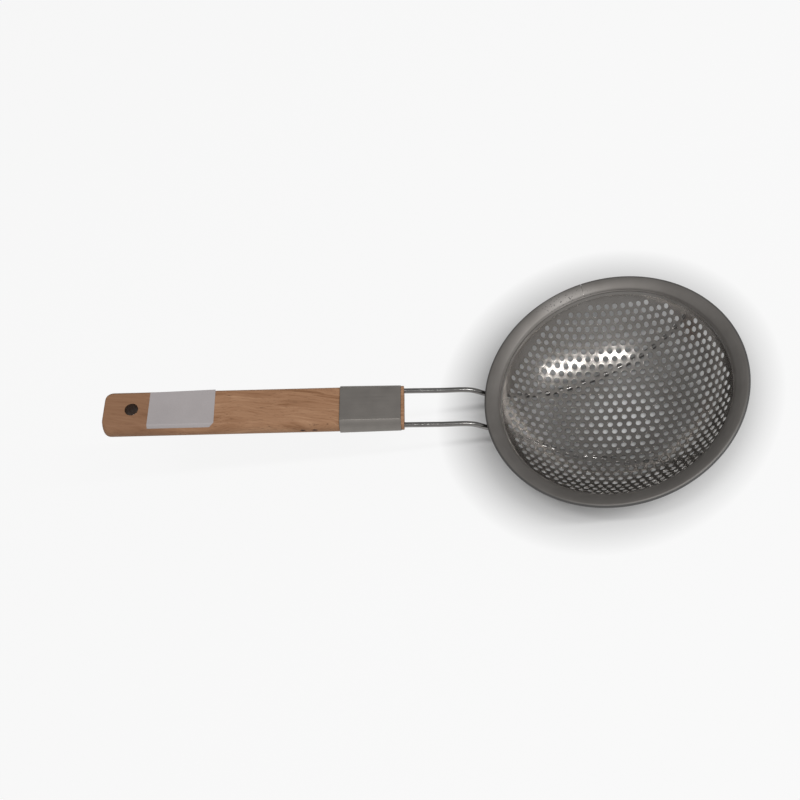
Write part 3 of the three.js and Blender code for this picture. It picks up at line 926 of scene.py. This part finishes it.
def wood_marks(look, colour):
    """Wood's colour, darker towards the handle's end, with darker end grain and painted shade in the
    hanging hole and painted shade at the nicks.
    """
    end_brown = (0.24, 0.125, 0.07, 1)
    hole_shade_brown = (0.028, 0.011, 0.005, 1)
    nick_shade_brown = (0.03, 0.01, 0.006, 1)
    # darker towards the handle's end
    dark_end = look.near((-handle_end, 0, 0), (DARK_END_LENGTH, 0, 0), soft=0.4, top=0.6)
    colour = look.mix(dark_end, colour, end_brown)
    # darker end grain and painted shade inside the hanging hole
    hole_size = HANG_HOLE_DIAMETER / 2 + HANG_HOLE_DARK_RING
    hole_shade = look.near((HANG_HOLE_INSET - handle_end, 0, 0), (hole_size, hole_size, 0), soft=0.06)
    colour = look.mix(hole_shade, colour, hole_shade_brown)
    # painted shade at two small nicks in the near edge
    for reach in NICK_REACHES:
        nick_shade = look.near((-reach, *NICK_PLACE), NICK_SIZE)
        colour = look.mix(nick_shade, colour, nick_shade_brown)
    return colour


def handle_wood():
    look = Look("handle_wood", Specular_IOR_Level=0.22)
    pore_brown = (0.13, 0.066, 0.034, 1)
    grain = wood_grain(look)
    broad = look.noise(look.stretched(9, 190, 190, vector=grain), detail=4, roughness=0.6)
    fine = look.noise(look.stretched(26, 900, 900, vector=grain), detail=3)
    colour = look.ramp(
        look.mix(0.4, broad, fine),
        (0.34, (0.24, 0.115, 0.054)),
        (0.45, (0.35, 0.184, 0.099)),
        (0.55, (0.4, 0.22, 0.123)),
        (0.68, (0.49, 0.287, 0.17)),
    )
    pores = look.noise(look.stretched(180, 3000, 3000, vector=grain), detail=2)
    colour = look.mix(look.spread(pores, 0, 0.7, source=(0.6, 0.72)), colour, pore_brown)
    look.set("Base Color", wood_marks(look, colour))
    look.set("Roughness", look.spread(fine, 0.5, 0.7))
    look.bump(look.mix(0.5, fine, pores), strength=0.25, distance=0.0002)
    return look.material


def label_paper():
    look = Look("label_paper")
    # the paper's grey is painted shade over white paper; the two greys vary at random
    shaded, less_shaded = (0.385, 0.354, 0.354), (0.44, 0.405, 0.405)
    fibres = look.noise(look.stretched(1500, 1500, 1500), detail=4)
    cloud = look.noise(look.stretched(60, 60, 60), detail=3)
    look.set("Base Color", look.ramp(look.mix(0.5, fibres, cloud), (0.35, shaded), (0.65, less_shaded)))
    look.set("Roughness", look.spread(fibres, 0.45, 0.62))
    look.bump(fibres, strength=0.08, distance=0.0001)
    return look.material


def floor_paint():
    """Pale floor that fades to plain white away from the bowl, for the eye and in reflections."""
    look = Look("floor_paint", Roughness=0.9)
    low, high = (0.63, 0.63, 0.63), (0.65, 0.65, 0.65)
    cloud = look.noise(look.stretched(4, 4, 4), detail=2)
    look.set("Base Color", look.ramp(cloud, (0.3, low), (0.7, high)))
    middle = RIM_CENTRE / MM + SHADE_SHIFT
    shaded = look.near(middle, (SHADE_REACH, SHADE_REACH, 0), soft=SHADE_SOFTNESS)
    shown = look.maths("MULTIPLY", look.maths("SUBTRACT", 1, shaded), WHITE_SHARE)
    path = look.tree.nodes.new("ShaderNodeLightPath").outputs
    seen = look.maths("MAXIMUM", path["Is Camera Ray"], path["Is Glossy Ray"])
    seen = look.maths("MAXIMUM", seen, path["Is Transmission Ray"])
    white = look.add("ShaderNodeEmission", "Emission", {"Color": (1, 1, 1, 1), "Strength": 1.0})
    shaders = {0: look.maths("MULTIPLY", shown, seen), 1: look.surface.outputs["BSDF"], 2: white}
    mixed = look.add("ShaderNodeMixShader", "Shader", shaders)
    look.feed(look.tree.nodes["Material Output"].inputs["Surface"], mixed)
    return look.material


# Stage

def add_floor():
    half = FLOOR_HALF * MM
    corners = [(x * half, y * half, 0) for x, y in ((-1, -1), (1, -1), (1, 1), (-1, 1))]
    mesh = bpy.data.meshes.new("floor")
    mesh.from_pydata(corners, [], [(0, 1, 2, 3)])
    mesh.materials.append(floor_paint())
    add_object("floor", mesh, Matrix.Translation((0, 0, -FLOOR_DROP * MM)))


def add_strip_lights():
    """Two long soft lamps in one line over the bowl."""
    for start, length in LAMP_SPANS:
        lamp = bpy.data.lights.new("strip", "AREA")
        lamp.shape = "RECTANGLE"
        lamp.size = length * MM
        lamp.size_y = LAMP_WIDTH * MM
        lamp.energy = LAMP_WATTS_PER_METRE * length * MM
        strip = bpy.data.objects.new("strip", lamp)
        strip.location = RIM_CENTRE + (LAMP_LINE_END + LAMP_LINE_WAY * (start + length / 2)) * MM
        strip.rotation_euler.z = math.atan2(LAMP_LINE_WAY.y, LAMP_LINE_WAY.x)
        bpy.context.scene.collection.objects.link(strip)


def add_world():
    """Soft light from all round, most of it from one side."""
    world = bpy.data.worlds.new("studio")
    world.use_nodes = True
    tree = world.node_tree
    ways = tree.nodes.new("ShaderNodeTexCoord").outputs["Generated"]
    lean = tree.nodes.new("ShaderNodeVectorMath")
    lean.operation = "DOT_PRODUCT"
    lean.inputs[1].default_value = SOFT_LIGHT_SIDE
    tree.links.new(ways, lean.inputs[0])
    level = tree.nodes.new("ShaderNodeMapRange")
    low, high = SOFT_LIGHT_LEVELS
    span = {"From Min": SOFT_LIGHT_START, "From Max": 1, "To Min": low, "To Max": high}
    for socket, value in span.items():
        level.inputs[socket].default_value = value
    tree.links.new(lean.outputs["Value"], level.inputs["Value"])
    tree.links.new(level.outputs["Result"], tree.nodes["Background"].inputs["Strength"])
    tree.nodes["Background"].inputs["Color"].default_value = (1, 1, 1, 1)
    bpy.context.scene.world = world


def add_camera():
    azimuth, elevation, roll = CAMERA_AZIMUTH, CAMERA_ELEVATION, CAMERA_ROLL
    level = math.cos(elevation)
    back = Vector((level * math.sin(azimuth), -level * math.cos(azimuth), math.sin(elevation)))
    flat_right = Vector((math.cos(azimuth), math.sin(azimuth), 0))
    right = flat_right * math.cos(roll) + back.cross(flat_right) * math.sin(roll)
    axes = Matrix((right, back.cross(right), back)).transposed()
    data = bpy.data.cameras.new("camera")
    data.lens = CAMERA_LENS
    data.sensor_width = CAMERA_SENSOR
    camera = bpy.data.objects.new("camera", data)
    place = RIM_CENTRE + CAMERA_AIM * MM + back * CAMERA_DISTANCE * MM
    camera.matrix_world = Matrix.Translation(place) @ axes.to_4x4()
    bpy.context.scene.collection.objects.link(camera)
    bpy.context.scene.camera = camera


# Strainer

def add_bowl():
    piece = add_piece("bowl_sheet", bowl_mesh(), bowl_axes, bowl_steel())
    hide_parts("perforated_bowl")


def add_band():
    piece = add_piece("rim_strip", band_mesh(), bowl_axes, band_steel())
    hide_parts("rim_band")


def add_wires():
    steel = wire_steel()
    for side, name in ((1, "left"), (-1, "right")):
        piece = add_piece("support_wire_" + name, wire_mesh(side), bowl_axes, steel)
        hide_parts("wire_" + name)


def add_handle():
    piece = add_piece("wooden_grip", handle_mesh(), handle_axes, handle_wood())
    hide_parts("handle")


def add_ferrule():
    piece = add_piece("ferrule_sleeve", ferrule_mesh(), handle_axes, ferrule_steel())
    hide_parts("ferrule")


def add_label():
    add_piece("blank_label", label_mesh(), handle_axes, label_paper())


add_bowl()
add_band()
add_wires()
add_handle()
add_ferrule()
add_label()
add_floor()
add_strip_lights()
add_world()
add_camera()
bpy.context.scene.view_settings.view_transform = "Standard"
